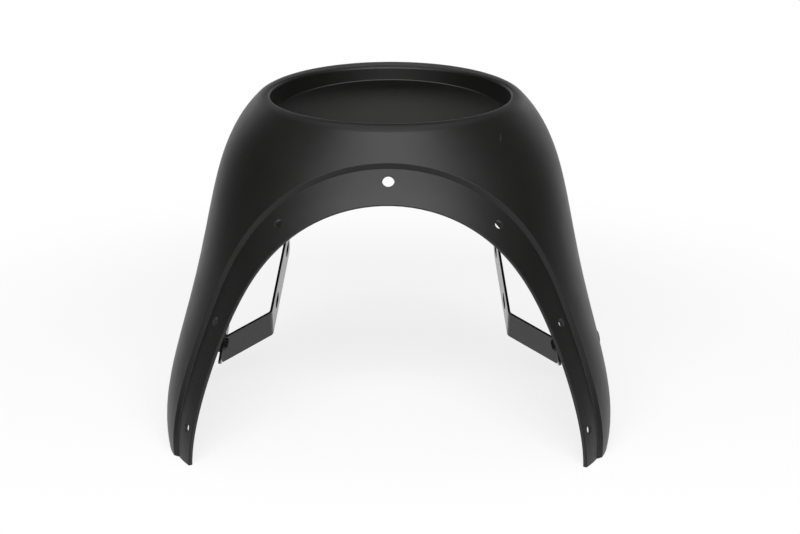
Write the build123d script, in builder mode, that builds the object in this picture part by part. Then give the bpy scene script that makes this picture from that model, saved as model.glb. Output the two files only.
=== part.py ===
from build123d import *
from math import cos, radians, sin, tan
import os

# Headlight cowl of a motorbike, standing on its rear edge with the headlight opening up.
# Millimetres. The origin is on the headlight axis, where the straight wall of the opening begins.
# +Z runs up along the headlight axis, -Y towards the windscreen flange and +X to the right.

# Headlight opening: a rolled rim with a lip that turns down inside it
opening_radius = 95.0
rim_round = 2.5
crown_round = 10.0
lip_back_depth = 12.0
lip_tilt = 5.0

# Moulding
wall = 3.0
cowl_height = 243.0
front_lean = 36.0
side_lean = 14.0

# Outer skin: level sections of two half ellipses, by depth below the rim. The rim's stand round
# the opening, and each section below stands out from the one above it by its spread
shoulder_depth = 20.0
breast_depth = 67.0
waist_depth = 162.0
rim_side = 7.6
rim_front = 8.2
rim_back = 21.5
shoulder_side_spread = 17.8
breast_side_spread = 17.4
waist_side_spread = 21.8
foot_side_spread = 8.4
shoulder_front_spread = 4.0
breast_front_spread = 10.7
waist_front_spread = 4.8
foot_front_spread = 1.3
shoulder_back_spread = 16.5
breast_back_spread = 24.0
waist_back_spread = 69.0
foot_back_spread = 66.0
forward_sweep = 121.5

# Windscreen flange: its border lines are ellipses on a plane ahead of the cowl, drawn
# towards one sight point inside it, so that every edge stands square to the skin. Each
# has its top below the rim and its widest line above the foot
sight_y = -40.0
sight_depth = 90.0
drawing_y = -140.0
arch_half_width = 117.3
arch_top_depth = 50.6
arch_centre_height = 80.0
step_half_width = 154.0
step_top_depth = 12.8
step_centre_height = 93.0
joggle = 2.6
joggle_run = 3.4
joggle_foot = 0.4
arch_edge_round = 0.8

# Windscreen screw holes: a large one at the top of the flange and three down each side. Each
# side hole has its turn from the top, and its share of the way from the arch out to the step
centre_hole_diameter = 9.0
centre_hole_share = 0.62
side_hole_diameter = 6.4
side_hole_turns = (43.9, 85.7, 108.1)
side_hole_shares = (0.53, 0.55, 0.37)

# Rear edge, seen from the side: one arc from the chin to the rear corner of each side
chin_depth = 68.0
rear_corner_y = 0.0
rear_edge_sagitta = 12.0
rear_corner_round = 14.0

# Where each bracket screw passes the side wall, and the pad moulded round it
seat_y = -44.5
seat_height = 54.6
pad_border = 2.0
pad_height = 1.5

# Bracket: a flat strap of two legs with a foot that faces the side wall
strap_width = 23.4
strap_thickness = 2.0
strap_pitch = 20.0
bend_inset = 65.9
bend_setback = 29.5
bend_drop = -0.5
bend_radius = 4.0
arm_angle = 42.2
blade_length = 112.0
blade_draw = 8.0
blade_end_round = 8.0
slot_length = 17.0
slot_width = 8.5
near_slot_start = 28.5
far_slot_margin = 15.0
foot_length = 14.0
foot_height = 32.0
foot_round = 4.0
foot_standoff = 30.6
collar_wall = 1.5
collar_height = 2.5

# Screw and spacer
screw_diameter = 6.0
screw_clearance = 0.3
thread_clearance = 0.1
head_diameter = 10.5
head_flange_diameter = 13.6
head_flange_height = 1.2
head_height = 3.4
head_chamfer = 0.5
socket_width = 4.0
socket_depth = 2.0
screw_tip = 0.5
spacer_diameter = 14.0

# Room that a cutting solid has beyond the faces it cuts
margin = 6.0

os.makedirs("parts", exist_ok=True)

rim_top = rim_round
foot_level = rim_top - cowl_height
sight_z = rim_top - sight_depth
arch_centre_depth = cowl_height - arch_centre_height
arch_rise = arch_centre_depth - arch_top_depth
step_centre_depth = cowl_height - step_centre_height
step_rise = step_centre_depth - step_top_depth

# Half width, front and back of each section, measured from the section's middle
rim = Vector(opening_radius + rim_side, opening_radius + rim_front, opening_radius + rim_back)
shoulder = rim + Vector(shoulder_side_spread, shoulder_front_spread, shoulder_back_spread)
breast = shoulder + Vector(breast_side_spread, breast_front_spread, breast_back_spread)
waist = breast + Vector(waist_side_spread, waist_front_spread, waist_back_spread)
foot = waist + Vector(foot_side_spread, foot_front_spread, foot_back_spread)


def centre_y(depth):
    """The middle of a level section moves forward as the cowl runs down."""
    return -forward_sweep * depth / cowl_height


def skin(inset, foot_run):
    """Solid inside the outer skin moved in by inset, drawn on below the foot by foot_run."""
    depths = (0, shoulder_depth, breast_depth, waist_depth, cowl_height)
    side_inset = inset / cos(radians(side_lean))
    front_inset = inset / cos(radians(front_lean))
    with BuildPart() as body:
        for depth, (half_width, front, back) in zip(depths, (rim, shoulder, breast, waist, foot)):
            middle = (0, centre_y(depth))
            half = half_width - side_inset
            with BuildSketch(Plane.XY.offset(rim_top - depth)):
                with BuildLine():
                    EllipticalCenterArc(middle, half, front - front_inset, 180, arc_size=180)
                    EllipticalCenterArc(middle, half, back - inset, 0, arc_size=180)
                make_face()
        loft()
        if inset:
            extrude(body.faces().sort_by(Axis.Z)[0], amount=foot_run)
            split(bisect_by=Plane.XY.offset(rim_top - inset), keep=Keep.BOTTOM)
    return body.part


def flange_cone(half_width, rise, centre_depth):
    """Solid drawn from near the sight point out through an ellipse on the drawing plane."""
    ahead_y = centre_y(cowl_height) - foot.Y - 10 * margin
    behind_y = (sight_y + drawing_y) / 2
    with BuildPart() as cone:
        for plane_y in (ahead_y, behind_y):
            scale = (plane_y - sight_y) / (drawing_y - sight_y)
            middle_z = sight_z + (sight_depth - centre_depth) * scale
            with BuildSketch(Plane.XZ.offset(-plane_y)):
                with Locations((0, middle_z)):
                    Ellipse(rise * scale, half_width * scale, rotation=-90)
        loft(ruled=True)
    return cone.part


def hole_plane(turn, share):
    """Plane square to the flange at a screw hole, by the hole's turn and its share of the way."""
    across = (arch_half_width + (step_half_width - arch_half_width) * share) * sin(radians(turn))
    rise = (arch_rise + (step_rise - arch_rise) * share) * cos(radians(turn))
    depth = arch_centre_depth + (step_centre_depth - arch_centre_depth) * share - rise
    sight = Vector(0, sight_y, sight_z)
    line = Axis(sight, Vector(across, drawing_y, rim_top - depth) - sight)
    hits = [hit for face in flange_form.faces() for hit in face.find_intersection_points(line)]
    point, normal = min(hits, key=lambda hit: hit[0].Y)
    return Plane(origin=point, z_dir=normal)


# Outer form, and what is taken away from it
full_form = skin(0, 0)
with BuildPart() as outer_form:
    add(full_form)
    fillet(outer_form.edges().group_by(Axis.Z)[-1], crown_round)

wall_form = skin(wall, margin)
flange_wall_form = skin(wall + joggle, 2 * margin)
inner_step_cone = flange_cone(step_half_width + wall, step_rise + wall, step_centre_depth)
with BuildPart() as cavity:
    add(wall_form)
    add(inner_step_cone, mode=Mode.SUBTRACT)
    add(flange_wall_form)

flange_form = skin(joggle, margin)
step_cone = flange_cone(step_half_width, step_rise, step_centre_depth)
with BuildPart() as flange_recess:
    add(step_cone)
    add(flange_form, mode=Mode.SUBTRACT)

# Lip inside the opening, its lower edge level from side to side and deeper towards the front
lip_middle_depth = lip_back_depth + opening_radius * sin(radians(lip_tilt))
with BuildPart() as lip:
    with BuildSketch(Plane.XY.offset(rim_top - wall / 2)):
        Circle(opening_radius + wall)
        Circle(opening_radius, mode=Mode.SUBTRACT)
    extrude(amount=-2 * lip_middle_depth)
    lip_edge = Plane.XY.offset(rim_top - lip_middle_depth).rotated((lip_tilt, 0, 0))
    split(bisect_by=lip_edge, keep=Keep.TOP)

# Seat of a bracket screw: the point and direction where its line leaves the side wall
probe = Axis((0, seat_y, foot_level + seat_height), (1, 0, 0))
exits = [hit for face in outer_form.faces() for hit in face.find_intersection_points(probe)]
seat_point, seat_normal = max(exits, key=lambda hit: hit[0].X)
seat = Plane(origin=seat_point, x_dir=(0, 1, 0), z_dir=seat_normal)

with BuildPart() as seat_pads:
    with BuildSketch(seat.offset(-wall - pad_height)):
        Circle(spacer_diameter / 2 + pad_border)
    extrude(amount=pad_height + wall / 2)
    mirror(about=Plane.YZ)

with BuildPart() as seat_holes:
    with BuildSketch(seat):
        Circle(screw_diameter / 2 + screw_clearance)
    extrude(amount=wall + pad_height + margin, both=True)
    mirror(about=Plane.YZ)

# The cowl is one moulding
arch_cone = flange_cone(arch_half_width, arch_rise, arch_centre_depth)
with BuildPart() as cowl_shell:
    add(outer_form.part)
    add(flange_recess.part, mode=Mode.SUBTRACT)
    near = joggle / 10
    step_line = [
        edge
        for edge in cowl_shell.edges(Select.LAST)
        if outer_form.part.distance_to(edge @ 0.5) < near and (edge @ 0.5).Z > foot_level + margin
    ]
    beside = [face for face in cowl_shell.faces() if face.distance_to(step_line[0] @ 0.5) < near]
    chamfer(step_line, joggle_run, joggle - joggle_foot, reference=max(beside, key=lambda face: face.area))
    add(cavity.part, mode=Mode.SUBTRACT)
    add(arch_cone, mode=Mode.SUBTRACT)
    arch_edges = [edge for edge in cowl_shell.edges(Select.LAST) if (edge @ 0.5).Z > foot_level + margin]
    fillet(arch_edges, arch_edge_round)

    # Rear edge, cut from side to side
    with BuildSketch(Plane.YZ):
        with BuildLine():
            chin = (breast.Z + centre_y(breast_depth) + margin, rim_top - chin_depth)
            corner = (rear_corner_y, foot_level)
            below = foot_level - 3 * margin
            behind = 2 * foot.Z
            SagittaArc(chin, corner, rear_edge_sagitta)
            Polyline(corner, (rear_corner_y, below), (behind, below), (behind, chin[1]), chin)
        make_face()
    extrude(amount=2 * foot.X, both=True, mode=Mode.SUBTRACT)

    # Headlight opening, lip and rolled rim
    with BuildSketch(Plane.XY.offset(rim_top)):
        Circle(opening_radius)
    extrude(amount=-wall - margin, mode=Mode.SUBTRACT)
    add(lip.part)
    fillet(cowl_shell.edges().filter_by(GeomType.CIRCLE).sort_by(Axis.Z)[-1], rim_round)

    # Rear corners of the legs, where the wall's short straight edges stand on the foot level
    standing = cowl_shell.edges().filter_by(GeomType.LINE).group_by(Axis.Z)[0]
    fillet(standing.sort_by(Axis.Y)[-2:], rear_corner_round)

    # Screw seats and the windscreen screw holes
    add(seat_pads.part)
    add(seat_holes.part, mode=Mode.SUBTRACT)
    with BuildSketch(hole_plane(0, centre_hole_share)):
        Circle(centre_hole_diameter / 2)
    extrude(amount=2 * wall, both=True, mode=Mode.SUBTRACT)
    for turn, share in zip(side_hole_turns, side_hole_shares):
        with BuildSketch(hole_plane(turn, share), hole_plane(-turn, share)):
            Circle(side_hole_diameter / 2)
        extrude(amount=2 * wall, both=True, mode=Mode.SUBTRACT)

cowl_shell.part.label = "cowl_shell"
export_step(cowl_shell.part, "parts/cowl_shell.step")

# Bracket on the right: a strap of two legs and a foot that faces the side wall
along = Vector(0, cos(radians(strap_pitch)), sin(radians(strap_pitch)))
across = Vector(0, -sin(radians(strap_pitch)), cos(radians(strap_pitch)))
bend = seat_point + Vector(-bend_inset, bend_setback, -bend_drop)
strap_plane = Plane(origin=bend, x_dir=(1, 0, 0), z_dir=across)
foot_face = seat.offset(-foot_standoff)
inner_face = foot_face.offset(-strap_thickness)
blade_turn = (along * blade_length - Vector(blade_draw, 0, 0)).normalized()

with BuildPart() as bracket_right:
    with BuildSketch(strap_plane):
        with BuildLine():
            arm_end = (bend_inset, -bend_inset * tan(radians(arm_angle)))
            FilletPolyline(arm_end, (0, 0), (-blade_draw, blade_length), radius=bend_radius)
            offset(amount=strap_thickness, side=Side.LEFT)
        make_face()
    extrude(amount=strap_width / 2, both=True)
    split(bisect_by=inner_face, keep=Keep.BOTTOM)
    with BuildSketch(foot_face):
        RectangleRounded(foot_length, foot_height, foot_round)
    extrude(amount=-strap_thickness)
    with BuildSketch(inner_face):
        Circle(screw_diameter / 2 + thread_clearance + collar_wall)
    extrude(amount=-collar_height)
    with BuildSketch(foot_face):
        Circle(screw_diameter / 2 + thread_clearance)
    extrude(amount=-strap_thickness - collar_height, mode=Mode.SUBTRACT)
    for start in (near_slot_start, blade_length - far_slot_margin):
        with BuildSketch(Plane(origin=bend + blade_turn * start, x_dir=blade_turn, z_dir=(1, 0, 0))):
            SlotOverall(slot_length, slot_width)
        extrude(amount=4 * strap_thickness, both=True, mode=Mode.SUBTRACT)
    far = blade_length - strap_thickness
    blade_corners = [
        edge
        for edge in bracket_right.edges()
        if edge.length < 2 * strap_thickness and (edge @ 0.5 - bend).dot(blade_turn) > far
    ]
    fillet(blade_corners, blade_end_round)
bracket_right.part.label = "bracket_right"
export_step(bracket_right.part, "parts/bracket_right.step")

with BuildPart() as bracket_left:
    mirror(bracket_right.part, about=Plane.YZ)
bracket_left.part.label = "bracket_left"
export_step(bracket_left.part, "parts/bracket_left.step")

# Spacers between the pads and the bracket feet
spacer_length = foot_standoff - wall - pad_height
with BuildPart() as bracket_spacers:
    with BuildSketch(seat.offset(-foot_standoff)):
        Circle(spacer_diameter / 2)
        Circle(screw_diameter / 2 + screw_clearance, mode=Mode.SUBTRACT)
    extrude(amount=spacer_length)
    mirror(about=Plane.YZ)
bracket_spacers.part.label = "bracket_spacers"
export_step(bracket_spacers.part, "parts/bracket_spacers.step")

# Flanged button-head screws, put in from outside
screw_length = foot_standoff + strap_thickness + collar_height + screw_tip
with BuildPart() as bracket_screws:
    with BuildSketch(seat):
        Circle(screw_diameter / 2)
    extrude(amount=-screw_length)
    with BuildSketch(seat):
        Circle(head_flange_diameter / 2)
    extrude(amount=head_flange_height)
    with BuildSketch(seat.offset(head_flange_height)):
        Circle(head_diameter / 2)
    extrude(amount=head_height - head_flange_height)
    chamfer(bracket_screws.edges(Select.LAST).group_by(SortBy.DISTANCE)[-1], head_chamfer)
    with BuildSketch(seat.offset(head_height)):
        RegularPolygon(socket_width / 2, 6, major_radius=False)
    extrude(amount=-socket_depth, mode=Mode.SUBTRACT)
    mirror(about=Plane.YZ)
bracket_screws.part.label = "bracket_screws"
export_step(bracket_screws.part, "parts/bracket_screws.step")
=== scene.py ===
# %% [markdown]
# # A motorbike's headlight cowl
#
# The cowl is one black plastic moulding that stands here on its rear edge, with the round
# headlight opening up and the windscreen flange towards us. Two bent steel straps inside its
# legs hold it to the bike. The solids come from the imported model, in metres, with +Z up and
# the flange towards -Y. This script gives them their finish, and adds the small marks and
# edges that a moulding and a painted strap have.

import math

import bmesh
import bpy
from mathutils import Matrix, Vector


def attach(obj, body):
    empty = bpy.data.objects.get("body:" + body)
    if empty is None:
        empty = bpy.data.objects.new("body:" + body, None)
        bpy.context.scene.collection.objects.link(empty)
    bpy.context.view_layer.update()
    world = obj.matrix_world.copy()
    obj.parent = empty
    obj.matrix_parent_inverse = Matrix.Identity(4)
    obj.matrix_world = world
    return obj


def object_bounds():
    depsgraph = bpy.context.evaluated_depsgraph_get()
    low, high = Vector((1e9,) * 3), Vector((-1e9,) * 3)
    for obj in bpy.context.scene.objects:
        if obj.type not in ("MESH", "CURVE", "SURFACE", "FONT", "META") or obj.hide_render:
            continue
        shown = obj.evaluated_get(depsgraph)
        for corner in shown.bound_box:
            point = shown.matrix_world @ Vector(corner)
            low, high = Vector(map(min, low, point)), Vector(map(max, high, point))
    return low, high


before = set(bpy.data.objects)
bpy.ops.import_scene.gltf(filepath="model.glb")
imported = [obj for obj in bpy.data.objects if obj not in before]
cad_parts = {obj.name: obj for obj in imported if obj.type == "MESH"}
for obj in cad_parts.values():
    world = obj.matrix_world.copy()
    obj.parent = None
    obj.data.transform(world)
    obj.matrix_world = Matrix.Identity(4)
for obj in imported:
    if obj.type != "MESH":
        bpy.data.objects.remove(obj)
cad_low, cad_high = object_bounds()
floor_level = cad_low.z
MM = 0.001
print("CAD box in metres:", tuple(cad_low), tuple(cad_high))

# %% [markdown]
# ## The camera
#
# A product shot of this kind is taken with a long lens from a little above. The round opening
# shows as an ellipse, and its shape gives the camera's height: 13.6 degrees above the rim.
# A 90 mm lens on a 36 mm sensor, a metre and a half away, gives the same slight perspective.
# The far rim lies a little to the right of the near edge, so the camera stands a little to the
# right of the cowl's middle plane.

# %% Camera
PHOTO_WIDTH = 800
RIM_MIDDLE_COLUMN = 390.4
CAMERA_DISTANCE = 1.5400
CAMERA_HEIGHT = 0.3745
CAMERA_PITCH = math.radians(18.556)
CAMERA_TURN = math.radians(0.7)

camera_data = bpy.data.cameras.new("camera")
camera_data.lens = 90
camera_data.sensor_width = 36
camera_data.shift_x = (PHOTO_WIDTH / 2 - RIM_MIDDLE_COLUMN) / PHOTO_WIDTH
camera = bpy.data.objects.new("camera", camera_data)
camera.location = (
    CAMERA_DISTANCE * math.sin(CAMERA_TURN),
    -CAMERA_DISTANCE * math.cos(CAMERA_TURN),
    CAMERA_HEIGHT,
)
camera.rotation_euler = (math.pi / 2 - CAMERA_PITCH, 0, CAMERA_TURN)
bpy.context.scene.collection.objects.link(camera)
bpy.context.scene.camera = camera
bpy.context.scene.view_settings.view_transform = "Standard"
print("camera shift:", camera_data.shift_x)

# %% [markdown]
# ## Small helpers
#
# Colours are written as sRGB hex values, the way a paint chart gives them, and one function
# turns them to the linear numbers that a shader mixes. One more adds a node, sets its
# properties and input values, and links its inputs to other nodes' outputs.

# %% Helpers
def linear(hex_colour):
    """Linear RGBA of an sRGB hex colour such as "#1b1b1a"."""
    shares = [int(hex_colour[i : i + 2], 16) / 255 for i in (1, 3, 5)]
    return [c / 12.92 if c <= 0.04045 else ((c + 0.055) / 1.055) ** 2.4 for c in shares] + [1]


def add_node(tree, kind, settings=None, inputs=None):
    """Adds a node, with its settings, and its inputs as values or as other nodes' outputs."""
    node = tree.nodes.new(kind)
    for name, value in (settings or {}).items():
        setattr(node, name, value)
    for name, value in (inputs or {}).items():
        if isinstance(value, bpy.types.NodeSocket):
            tree.links.new(value, node.inputs[name])
        else:
            node.inputs[name].default_value = value
    return node


def new_material(name):
    """An empty node material: its tree, with the output node ready."""
    material = bpy.data.materials.new(name)
    material.use_nodes = True
    tree = material.node_tree
    tree.nodes.clear()
    output = add_node(tree, "ShaderNodeOutputMaterial")
    return material, tree, output


print("#808080 is linear", round(linear("#808080")[0], 3))

# %% [markdown]
# ## The paper it stands on
#
# The cowl stands on white paper. In the real studio the paper is lit until it runs out to pure
# white. More light would also wash out the black plastic, so the paper does it here: where the
# camera or a reflection looks at it directly, most of its shade is replaced by a white glow.
# Near the cowl some of the shade is kept, which leaves the soft shadow behind the straps.
# A good metre away, outside the picture, the white fades to a pale grey, a painted falloff of
# light around a painted pool of light. The dark band of the flange's step, which leans down
# towards the floor in front of us, mirrors that grey.

# %% White paper
# Metres, but for SHADOW_KEPT, which is a share of the paper's own shade
SHADOW_KEPT = 0.22
SHADOW_REACH = (0.25, 0.6)
POOL_MIDDLE = Vector((0.2, 0.93, floor_level))
POOL_RADIUS = 1.3
POOL_FADE = 0.7
# The painted grey of the paper outside the pool of light, standing in for light falling off
PAPER_PAINTED_DIM = "#c8c8c8"


def white_paper():
    """White paper that the camera and reflections see nearly white."""
    material, tree, output = new_material("white_paper")
    place = add_node(tree, "ShaderNodeTexCoord")
    light_path = add_node(tree, "ShaderNodeLightPath")
    seen = 0
    for ray in ("Is Camera Ray", "Is Glossy Ray", "Is Transmission Ray"):
        either = add_node(
            tree, "ShaderNodeMath", {"operation": "MAXIMUM"}, {0: light_path.outputs[ray], 1: seen}
        )
        seen = either.outputs[0]
    from_cowl = add_node(
        tree,
        "ShaderNodeVectorMath",
        {"operation": "DISTANCE"},
        {0: place.outputs["Object"], 1: (0, 0, floor_level)},
    )
    whiteness = add_node(
        tree,
        "ShaderNodeMapRange",
        {"interpolation_type": "SMOOTHSTEP"},
        {
            "Value": from_cowl.outputs["Value"],
            "From Min": SHADOW_REACH[0],
            "From Max": SHADOW_REACH[1],
            "To Min": 1 - SHADOW_KEPT,
            "To Max": 1.0,
        },
    )
    share = add_node(
        tree, "ShaderNodeMath", {"operation": "MULTIPLY"}, {0: seen, 1: whiteness.outputs[0]}
    )
    from_pool = add_node(
        tree,
        "ShaderNodeVectorMath",
        {"operation": "DISTANCE"},
        {0: place.outputs["Object"], 1: POOL_MIDDLE},
    )
    fade = add_node(
        tree,
        "ShaderNodeMapRange",
        {"interpolation_type": "SMOOTHSTEP"},
        {
            "Value": from_pool.outputs["Value"],
            "From Min": POOL_RADIUS,
            "From Max": POOL_RADIUS + POOL_FADE,
        },
    )
    shaders = []
    # Painted falloff of light: outside the pool, the paper's colour and its glow both turn to the painted
    # grey
    for kind, colour in (("ShaderNodeBsdfDiffuse", "#f4f4f4"), ("ShaderNodeEmission", "#ffffff")):
        tint = add_node(
            tree,
            "ShaderNodeMix",
            {"data_type": "RGBA"},
            {"Factor": fade.outputs["Result"], "A": linear(colour), "B": linear(PAPER_PAINTED_DIM)},
        )
        shaders.append(add_node(tree, kind, inputs={"Color": tint.outputs["Result"]}).outputs[0])
    mixed = add_node(
        tree, "ShaderNodeMixShader", inputs={0: share.outputs[0], 1: shaders[0], 2: shaders[1]}
    )
    tree.links.new(mixed.outputs[0], output.inputs["Surface"])
    return material


paper = white_paper()
card_paper, tree, output = new_material("card_paper")
glow = add_node(tree, "ShaderNodeEmission", inputs={"Color": linear("#ffffff"), "Strength": 1.0})
tree.links.new(glow.outputs[0], output.inputs["Surface"])
print("paper nodes:", len(paper.node_tree.nodes))

# %% [markdown]
# ## Floor and reflector cards
#
# Three curved white cards stand far behind the cowl, a low one in the middle and a taller one at
# each side. They are outside the picture. Only the rim and the shoulders, which the camera sees
# at a low angle, mirror them, as the light grey lines along the photographed shoulders show.
# Each card is an upright line, spun round the cowl.

# %% Floor and cards
FLOOR_SIZE = 12.0
CARD_RADIUS = 4.0
CARD_STEPS = 12
# First and last turn from straight behind, in degrees, and the height of the top edge
CARDS = {
    "left_card": (-44, -12, 1.5),
    "middle_card": (-12, 12, 0.8),
    "right_card": (12, 50, 1.5),
}


def add_sheet(name, shape, material):
    """A sheet of the white paper, as part of the studio."""
    mesh = bpy.data.meshes.new(name)
    shape.to_mesh(mesh)
    shape.free()
    mesh.materials.append(material)
    sheet = bpy.data.objects.new(name, mesh)
    bpy.context.scene.collection.objects.link(sheet)
    return sheet


floor = bmesh.new()
bmesh.ops.create_grid(floor, x_segments=1, y_segments=1, size=FLOOR_SIZE / 2)
bmesh.ops.translate(floor, vec=(0, 0, floor_level), verts=floor.verts)
add_sheet("floor", floor, paper)

for name, (first, last, top) in CARDS.items():
    card = bmesh.new()
    start_turn, end_turn = math.radians(first), math.radians(last)
    foot = Vector((math.sin(start_turn), math.cos(start_turn), 0)) * CARD_RADIUS
    line = [card.verts.new(foot + Vector((0, 0, z))) for z in (floor_level, top)]
    bmesh.ops.spin(
        card,
        geom=line + [card.edges.new(line)],
        cent=(0, 0, 0),
        axis=(0, 0, 1),
        angle=start_turn - end_turn,
        steps=CARD_STEPS,
    )
    sheet = add_sheet(name, card, card_paper)
    print(name, "faces:", len(sheet.data.polygons))

# %% [markdown]
# ## The lamps
#
# A wide softbox ahead of the cowl and above the camera gives the front its light, brightest along
# the windscreen flange and darker towards the rim. A larger, weaker one overhead reaches inside.

# %% Lamps and world
def add_softbox(name, place, target, size, watts):
    """A rectangular soft light that faces a target point."""
    data = bpy.data.lights.new(name, "AREA")
    data.shape = "RECTANGLE"
    data.size, data.size_y = size
    data.energy = watts
    lamp = bpy.data.objects.new(name, data)
    lamp.location = place
    lamp.rotation_euler = (Vector(target) - Vector(place)).to_track_quat("-Z", "Y").to_euler()
    bpy.context.scene.collection.objects.link(lamp)
    return lamp


lamps = (
    add_softbox("front_softbox", (0, -1.35, 1.0), (0, -0.15, -0.08), (2.4, 0.7), 39.0),
    add_softbox("overhead_softbox", (0, 0.1, 1.9), (0, 0, 0), (2.0, 2.0), 13.0),
)
ROOM_LIGHT = 0.1

world = bpy.data.worlds.new("studio")
bpy.context.scene.world = world
world.use_nodes = True
tree = world.node_tree
tree.nodes.clear()
output = add_node(tree, "ShaderNodeOutputWorld")
room = add_node(
    tree, "ShaderNodeBackground", inputs={"Color": linear("#ffffff"), "Strength": ROOM_LIGHT}
)
tree.links.new(room.outputs[0], output.inputs["Surface"])
print("lamps in watts:", {lamp.name: lamp.data.energy for lamp in lamps})

# %% [markdown]
# ## The moulded plastic
#
# The cowl is moulded in black ABS. The mould's outer half is finely textured, so the skin is
# satin: it has a soft, even sheen with a grain far below a millimetre. The inside comes from the
# plain half of the mould, and is duller. Its colour is also a little greyer, which is painted
# light: it stands in for the light that reaches inside. One material does both. It finds
# the inside from the geometry alone: a face that looks towards the cowl's leaning middle line,
# and lies under the lip of the opening, is inside.

# %% Inside or outside
# The middle line moves forward by half of the depth, and the lip's edge tilts by 5 degrees
MIDDLE_SWEEP = 0.5
LIP_TILT = 0.0872
LIP_EDGE = -17.8 * MM
# The lip's painted highlight: a thin grey band just above the lip's edge, fading towards the sides
LIP_HIGHLIGHT_LIFT = 0.35 * MM
LIP_HIGHLIGHT_REACH = 0.4 * MM
LIP_HIGHLIGHT_SPAN = (50 * MM, 82 * MM)
INWARD_LIMIT = -0.02


def add_inside(tree, place):
    """Adds the nodes that find the inside of the cowl and the painted highlight along the lip's lower
    edge.
    """
    middle = add_node(
        tree,
        "ShaderNodeVectorMath",
        {"operation": "DOT_PRODUCT"},
        {0: place.outputs["Object"], 1: (0, 0, MIDDLE_SWEEP)},
    )
    lean = add_node(tree, "ShaderNodeCombineXYZ", inputs={"Y": middle.outputs["Value"]})
    outward = add_node(
        tree,
        "ShaderNodeVectorMath",
        {"operation": "SUBTRACT"},
        {0: place.outputs["Object"], 1: lean.outputs[0]},
    )
    level = add_node(
        tree, "ShaderNodeVectorMath", {"operation": "MULTIPLY"}, {0: outward.outputs[0], 1: (1, 1, 0)}
    )
    facing = add_node(
        tree,
        "ShaderNodeVectorMath",
        {"operation": "DOT_PRODUCT"},
        {0: level.outputs[0], 1: place.outputs["Normal"]},
    )
    inward = add_node(
        tree, "ShaderNodeMath", {"operation": "LESS_THAN"}, {0: facing.outputs["Value"], 1: INWARD_LIMIT}
    )
    height = add_node(
        tree,
        "ShaderNodeVectorMath",
        {"operation": "DOT_PRODUCT"},
        {0: place.outputs["Object"], 1: (0, -LIP_TILT, 1)},
    )
    below = add_node(
        tree, "ShaderNodeMath", {"operation": "LESS_THAN"}, {0: height.outputs["Value"], 1: LIP_EDGE}
    )
    inside = add_node(
        tree, "ShaderNodeMath", {"operation": "MULTIPLY"}, {0: inward.outputs[0], 1: below.outputs[0]}
    )
    # The painted highlight: a thin band just above the lip's edge
    near_edge = add_node(
        tree,
        "ShaderNodeMath",
        {"operation": "COMPARE"},
        {0: height.outputs["Value"], 1: LIP_EDGE + LIP_HIGHLIGHT_LIFT, 2: LIP_HIGHLIGHT_REACH},
    )
    across = add_node(
        tree, "ShaderNodeVectorMath", {"operation": "MULTIPLY"}, {0: place.outputs["Object"], 1: (1, 0, 0)}
    )
    aside = add_node(tree, "ShaderNodeVectorMath", {"operation": "LENGTH"}, {0: across.outputs[0]})
    along = add_node(
        tree,
        "ShaderNodeMapRange",
        inputs={
            "Value": aside.outputs["Value"],
            "From Min": LIP_HIGHLIGHT_SPAN[0],
            "From Max": LIP_HIGHLIGHT_SPAN[1],
            "To Min": 1.0,
            "To Max": 0.0,
        },
    )
    painted_lip_highlight = inward
    for part in (near_edge, along):
        painted_lip_highlight = add_node(
            tree,
            "ShaderNodeMath",
            {"operation": "MULTIPLY"},
            {0: painted_lip_highlight.outputs[0], 1: part.outputs[0]},
        )
    return inside.outputs[0], painted_lip_highlight.outputs[0]


print("lip edge in mm:", LIP_EDGE / MM)

# %% [markdown]
# ## A painted highlight and a mark of use
#
# Along the lower edge of the lip, across the back, a thin grey line is a painted highlight where
# the edge catches the light. On the right of the front there is a faint scuff. It is a long, thin
# ellipsoid, bent by a little noise: a Mapping node turns and stretches the place until the
# ellipsoid is a ball of radius 1, so the distance from its middle says what is scuffed.

# %% Scuff
SCUFF_MIDDLE = Vector((83.85, -81.27, -12.43)) * MM
SCUFF_RUN = Vector((0.61, -6.4, -6.07))
SCUFF_SIZE = Vector((0.6, 0.6, 6.4)) * MM
WANDER_LENGTH = 4.5 * MM
WANDER_REACH = 4.0 * MM


def add_scuff(tree, place):
    """Adds the nodes of the scuff: 1 on it and 0 away from it."""
    wander = add_node(
        tree,
        "ShaderNodeTexNoise",
        inputs={"Vector": place.outputs["Object"], "Scale": 1 / WANDER_LENGTH},
    )
    centred = add_node(
        tree,
        "ShaderNodeVectorMath",
        {"operation": "SUBTRACT"},
        {0: wander.outputs["Color"], 1: (0.5, 0.5, 0.5)},
    )
    bent = add_node(
        tree,
        "ShaderNodeVectorMath",
        {"operation": "MULTIPLY_ADD"},
        {0: centred.outputs[0], 1: [WANDER_REACH] * 3, 2: place.outputs["Object"]},
    )
    ball = add_node(
        tree,
        "ShaderNodeMapping",
        {"vector_type": "TEXTURE"},
        {
            "Vector": bent.outputs[0],
            "Location": SCUFF_MIDDLE,
            "Rotation": SCUFF_RUN.to_track_quat("Z", "Y").to_euler(),
            "Scale": SCUFF_SIZE,
        },
    )
    away = add_node(tree, "ShaderNodeVectorMath", {"operation": "LENGTH"}, {0: ball.outputs[0]})
    scuff = add_node(
        tree,
        "ShaderNodeMapRange",
        inputs={
            "Value": away.outputs["Value"],
            "From Min": 0.5,
            "From Max": 1.0,
            "To Min": 1.0,
            "To Max": 0.0,
        },
    )
    return scuff.outputs["Result"]


print("scuff length in mm:", 2 * SCUFF_SIZE.z / MM)

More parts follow.
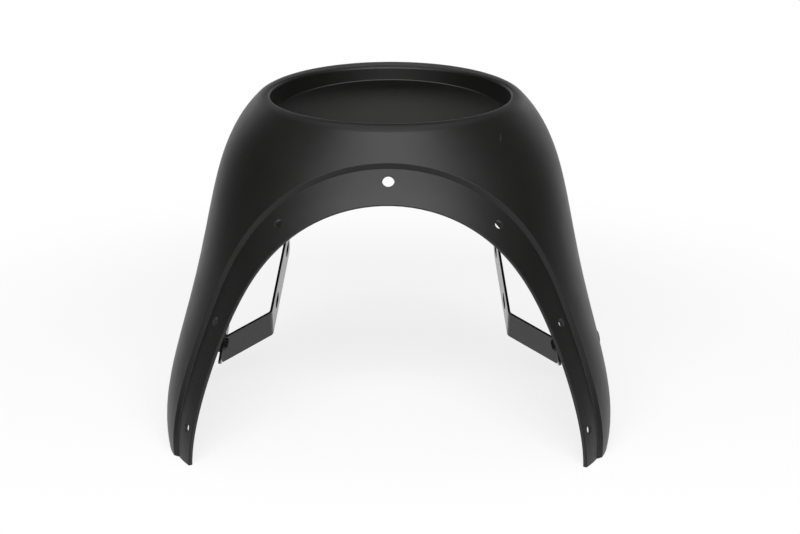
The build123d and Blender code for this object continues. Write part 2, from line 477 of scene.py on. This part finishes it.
# %% [markdown]
# ## The whole plastic
#
# The satin varies a little over a few centimetres, as the melt flowed. The mould's texture is
# about a tenth of a millimetre, too fine to show at this distance, so it is drawn at 0.9 mm and
# kept weak. Moulded edges are never sharp, and a Bevel node rounds their shading. The IOR
# starts from 1.54 for ABS and is matched to the dull photographed sheen.

# %% Moulded ABS
FLOW_LENGTH = 28 * MM
SATIN_ROUGHNESS = (0.42, 0.46)
INSIDE_ROUGHNESS = 0.85
GRAIN_LENGTH = 0.9 * MM
GRAIN_DEPTH = 0.1 * MM
EDGE_ROUND = 0.7 * MM


def moulded_abs():
    """Black ABS: satin outside from a textured mould, and duller inside the cowl."""
    material, tree, output = new_material("moulded_black_abs")
    place = add_node(tree, "ShaderNodeTexCoord")
    inside, painted_lip_highlight = add_inside(tree, place)
    scuff = add_scuff(tree, place)
    skin = linear("#0e0e0d")
    # The greyer inside colour is a painted lightening for the light that reaches inside
    for share, colour in ((inside, "#2b2b2a"), (painted_lip_highlight, "#4c4c4a"), (scuff, "#343433")):
        layer = add_node(
            tree,
            "ShaderNodeMix",
            {"data_type": "RGBA"},
            {"Factor": share, "A": skin, "B": linear(colour)},
        )
        skin = layer.outputs["Result"]
    flow = add_node(
        tree,
        "ShaderNodeTexNoise",
        inputs={"Vector": place.outputs["Object"], "Scale": 1 / FLOW_LENGTH, "Detail": 2.0},
    )
    satin = add_node(
        tree,
        "ShaderNodeMapRange",
        inputs={
            "Value": flow.outputs["Fac"],
            "From Min": 0.3,
            "From Max": 0.7,
            "To Min": SATIN_ROUGHNESS[0],
            "To Max": SATIN_ROUGHNESS[1],
        },
    )
    dull = add_node(
        tree,
        "ShaderNodeMix",
        {"data_type": "FLOAT"},
        {"Factor": inside, "A": satin.outputs["Result"], "B": INSIDE_ROUGHNESS},
    )
    grain = add_node(
        tree,
        "ShaderNodeTexNoise",
        inputs={"Vector": place.outputs["Object"], "Scale": 1 / GRAIN_LENGTH, "Detail": 2.0},
    )
    soft_edges = add_node(tree, "ShaderNodeBevel", {"samples": 4}, {"Radius": EDGE_ROUND})
    bump = add_node(
        tree,
        "ShaderNodeBump",
        inputs={
            "Height": grain.outputs["Fac"],
            "Strength": 0.08,
            "Distance": GRAIN_DEPTH,
            "Normal": soft_edges.outputs["Normal"],
        },
    )
    shader = add_node(
        tree,
        "ShaderNodeBsdfPrincipled",
        inputs={
            "Base Color": skin,
            "Roughness": dull.outputs["Result"],
            "IOR": 1.46,
            "Normal": bump.outputs["Normal"],
        },
    )
    tree.links.new(shader.outputs[0], output.inputs["Surface"])
    return material


abs_plastic = moulded_abs()
print("ABS nodes:", len(abs_plastic.node_tree.nodes))

# %% [markdown]
# ## Paint, nylon and black steel
#
# The straps are bent from flat steel and painted black. The paint is smooth and mirrors the white
# paper where we look along it, so the inner legs turn almost white, while the faces towards us
# stay dark grey. A clear coat on the shader does this. Its surface has the slight waviness of
# sprayed paint. The spacers are dull turned nylon, and the screws are steel with a black finish.

# %% Black finishes
def black_finish(name, colour, roughness, wave_length, wave_depth, coat):
    """A black finish with a fine wavy surface, and a clear coat where coat is above 0."""
    material, tree, output = new_material(name)
    place = add_node(tree, "ShaderNodeTexCoord")
    waves = add_node(
        tree,
        "ShaderNodeTexNoise",
        inputs={"Vector": place.outputs["Object"], "Scale": 1 / wave_length, "Detail": 1.0},
    )
    worn = add_node(
        tree,
        "ShaderNodeMapRange",
        inputs={
            "Value": waves.outputs["Fac"],
            "From Min": 0.3,
            "From Max": 0.7,
            "To Min": roughness - 0.04,
            "To Max": roughness + 0.04,
        },
    )
    bump = add_node(
        tree,
        "ShaderNodeBump",
        inputs={"Height": waves.outputs["Fac"], "Strength": 0.1, "Distance": wave_depth},
    )
    shader = add_node(
        tree,
        "ShaderNodeBsdfPrincipled",
        inputs={
            "Base Color": linear(colour),
            "Roughness": worn.outputs["Result"],
            "Specular IOR Level": 0.2 if coat else 0.5,
            "Coat Weight": coat,
            "Coat Roughness": 0.06,
            "Coat IOR": 1.5,
            "Normal": bump.outputs["Normal"],
        },
    )
    tree.links.new(shader.outputs[0], output.inputs["Surface"])
    return material


strap_paint = black_finish("sprayed_black_paint", "#121212", 0.5, 3.0 * MM, 0.05 * MM, 0.7)
nylon = black_finish("black_nylon", "#0b0b0b", 0.6, 0.5 * MM, 0.05 * MM, 0.0)
black_steel = black_finish("black_oxide_steel", "#0d0d0d", 0.36, 0.4 * MM, 0.02 * MM, 0.0)
for node, material in (
    ("cowl_shell", abs_plastic),
    ("bracket_left", strap_paint),
    ("bracket_right", strap_paint),
    ("bracket_spacers", nylon),
    ("bracket_screws", black_steel),
):
    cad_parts[node].data.materials[0] = material
    print(node, "gets", material.name)

# %% [markdown]
# ## The gate mark
#
# The molten plastic entered the mould through a gate, and its trace is a faint round mark on the
# inside of the chin, straight under the lip. It is a low round button: a disc that is extruded,
# dished by an inset, and softened by a bevel.

# %% Gate mark
GATE_PLACE = Vector((-1.4, 120.8, -26.5)) * MM
GATE_FACING = Vector((0, -0.998, -0.06))
GATE_RADIUS = 5.0 * MM
GATE_HEIGHT = 0.45 * MM
GATE_SUNK = 0.2 * MM
GATE_BORDER = 1.3 * MM
GATE_DISH = 0.2 * MM
GATE_EDGE_ROUND = 0.2 * MM
GATE_SEGMENTS = 48

button = bmesh.new()
bmesh.ops.create_circle(button, cap_ends=True, segments=GATE_SEGMENTS, radius=GATE_RADIUS)
raised = bmesh.ops.extrude_face_region(button, geom=button.faces[:])["geom"]
top_verts = [item for item in raised if isinstance(item, bmesh.types.BMVert)]
bmesh.ops.translate(button, vec=(0, 0, GATE_HEIGHT), verts=top_verts)
button_top = next(item for item in raised if isinstance(item, bmesh.types.BMFace))
rim_edges = button_top.edges[:]
bmesh.ops.inset_region(button, faces=[button_top], thickness=GATE_BORDER, depth=-GATE_DISH)
bmesh.ops.bevel(
    button,
    geom=rim_edges,
    offset=GATE_EDGE_ROUND,
    segments=2,
    profile=0.5,
    affect="EDGES",
    material=-1,
)
bmesh.ops.recalc_face_normals(button, faces=button.faces)
turn = GATE_FACING.to_track_quat("Z", "Y").to_matrix().to_4x4()
sunk = GATE_PLACE - GATE_FACING * GATE_SUNK
bmesh.ops.transform(button, matrix=Matrix.Translation(sunk) @ turn, verts=button.verts)
mesh = bpy.data.meshes.new("gate_mark")
button.to_mesh(mesh)
button.free()
mesh.materials.append(abs_plastic)
gate_mark = bpy.data.objects.new("gate_mark", mesh)
bpy.context.scene.collection.objects.link(gate_mark)
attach(gate_mark, "root")
print("gate mark faces:", len(mesh.polygons))
